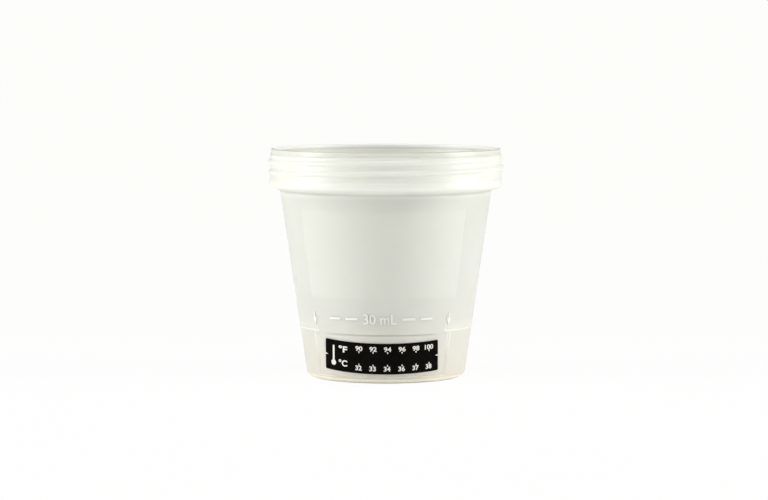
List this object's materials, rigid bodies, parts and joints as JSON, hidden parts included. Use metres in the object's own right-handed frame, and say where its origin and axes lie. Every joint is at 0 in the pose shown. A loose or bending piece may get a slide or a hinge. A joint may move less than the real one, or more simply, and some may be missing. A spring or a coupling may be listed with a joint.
{
  "type": "specimen container",
  "caption": "Open tapered specimen cup with a threaded neck for a screw lid, a raised filling line, a frosted writing panel and a stick-on temperature strip.",
  "frame": {"origin": "on the cup's axis, at the plane of the foot ring it stands on", "axes": "+Z along the cup's axis towards the mouth; -Y is the front, where the temperature strip and the writing panel are"},
  "size_m": [0.076, 0.076, 0.074],
  "materials": {
    "natural_polypropylene": "natural polypropylene, milky and see-through, satin, with a frosted panel",
    "black_laminate": "black laminated label with pale print, semi-gloss"
  },
  "bodies": {
    "root": {"cup": "natural_polypropylene", "temperature_strip": "black_laminate"}
  },
  "joints": []
}
